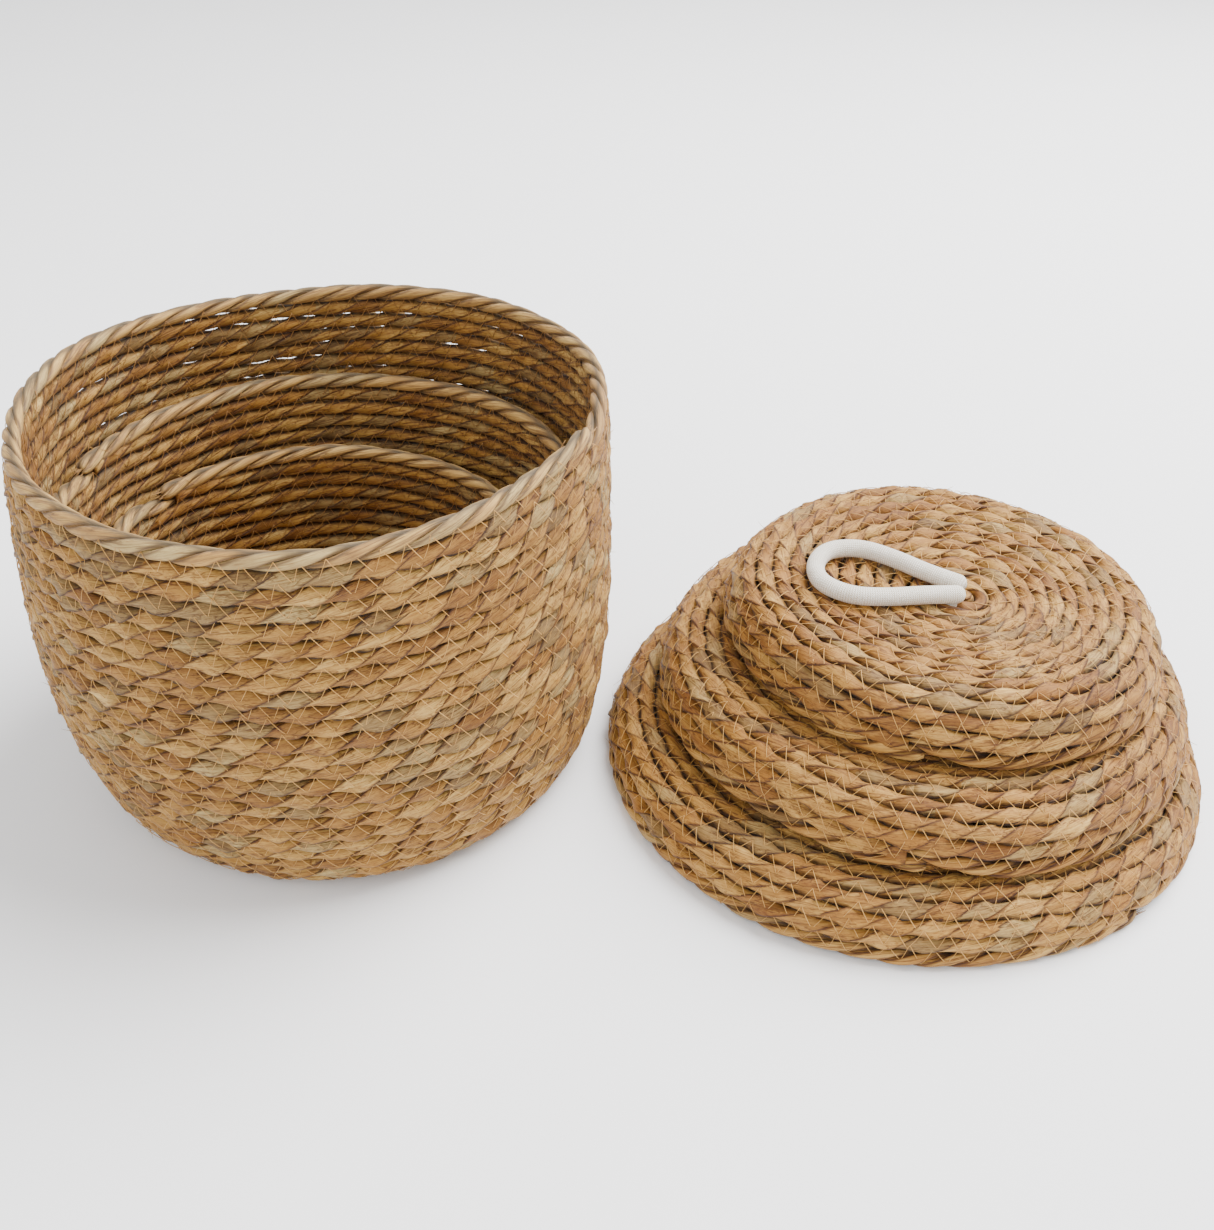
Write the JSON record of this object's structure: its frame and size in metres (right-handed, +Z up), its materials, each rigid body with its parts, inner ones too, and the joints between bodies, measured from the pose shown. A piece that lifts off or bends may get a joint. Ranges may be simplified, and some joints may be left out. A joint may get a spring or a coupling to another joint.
{
  "type": "nesting seagrass storage baskets with lids",
  "caption": "Nesting set of round coiled seagrass baskets, one inside the other, with domed lids stacked beside them, each with a cotton loop handle.",
  "frame": {"origin": "centre of the large basket's underside, on the surface it stands on", "axes": "+Z up, +X towards the stack of lids, +Y completes a right-handed frame"},
  "size_m": [0.653, 0.354, 0.219],
  "materials": {
    "seagrass_basket": "matte dried seagrass, a flattened three-strand rope sewn row to row with tan thread",
    "seagrass_rim": "matte dried seagrass, paler and rounder in the last row",
    "seagrass_lid": "matte dried seagrass, a flattened three-strand rope sewn row to row with tan thread",
    "cotton_cord": "soft matte knitted cotton cord"
  },
  "bodies": {
    "large_basket": {"large_base_coil": "seagrass_basket", "large_foot_coil": "seagrass_basket", "large_wall_coil": "seagrass_basket", "large_rim_coil": "seagrass_rim"},
    "medium_basket": {"medium_base_coil": "seagrass_basket", "medium_foot_coil": "seagrass_basket", "medium_wall_coil": "seagrass_basket", "medium_rim_coil": "seagrass_rim"},
    "small_basket": {"small_base_coil": "seagrass_basket", "small_foot_coil": "seagrass_basket", "small_wall_coil": "seagrass_basket", "small_rim_coil": "seagrass_rim"},
    "large_lid": {"large_lid_top_coil": "seagrass_lid", "large_lid_side_coil": "seagrass_lid", "large_lid_hem_coil": "seagrass_lid", "large_lid_cord_knot": "cotton_cord"},
    "large_lid_loop": {"large_lid_loop": "cotton_cord"},
    "medium_lid": {"medium_lid_top_coil": "seagrass_lid", "medium_lid_side_coil": "seagrass_lid", "medium_lid_hem_coil": "seagrass_lid", "medium_lid_cord_knot": "cotton_cord"},
    "medium_lid_loop": {"medium_lid_loop": "cotton_cord"},
    "small_lid": {"small_lid_top_coil": "seagrass_lid", "small_lid_side_coil": "seagrass_lid", "small_lid_hem_coil": "seagrass_lid", "small_lid_cord_knot": "cotton_cord"},
    "small_lid_loop": {"small_lid_loop": "cotton_cord"}
  },
  "joints": [
    {"name": "medium_basket_lift", "type": "slide", "parent": "large_basket", "child": "medium_basket", "axis": [0, 0, 1], "range_m": [0, 0.24]},
    {"name": "small_basket_lift", "type": "slide", "parent": "medium_basket", "child": "small_basket", "axis": [0, 0, 1], "range_m": [0, 0.18]},
    {"name": "large_lid_lift", "type": "slide", "parent": "large_basket", "child": "large_lid", "axis": [0, 0, 1], "range_m": [0, 0.25]},
    {"name": "medium_lid_lift", "type": "slide", "parent": "large_lid", "child": "medium_lid", "axis": [0, 0, 1], "range_m": [0, 0.08]},
    {"name": "small_lid_lift", "type": "slide", "parent": "medium_lid", "child": "small_lid", "axis": [0, 0, 1], "range_m": [0, 0.08]},
    {"name": "large_loop_hinge", "type": "hinge", "parent": "large_lid", "child": "large_lid_loop", "pos_m": [0.329, -0.04, 0.0414], "axis": [0.5, 0.866, 0], "range_deg": [0, 10]},
    {"name": "medium_loop_hinge", "type": "hinge", "parent": "medium_lid", "child": "medium_lid_loop", "pos_m": [0.335, -0.034, 0.0778], "axis": [-0.0872, 0.9962, 0], "range_deg": [0, 10]},
    {"name": "small_loop_hinge", "type": "hinge", "parent": "small_lid", "child": "small_lid_loop", "pos_m": [0.344, -0.027, 0.1142], "axis": [0.2756, 0.9613, 0], "range_deg": [0, 175]}
  ]
}
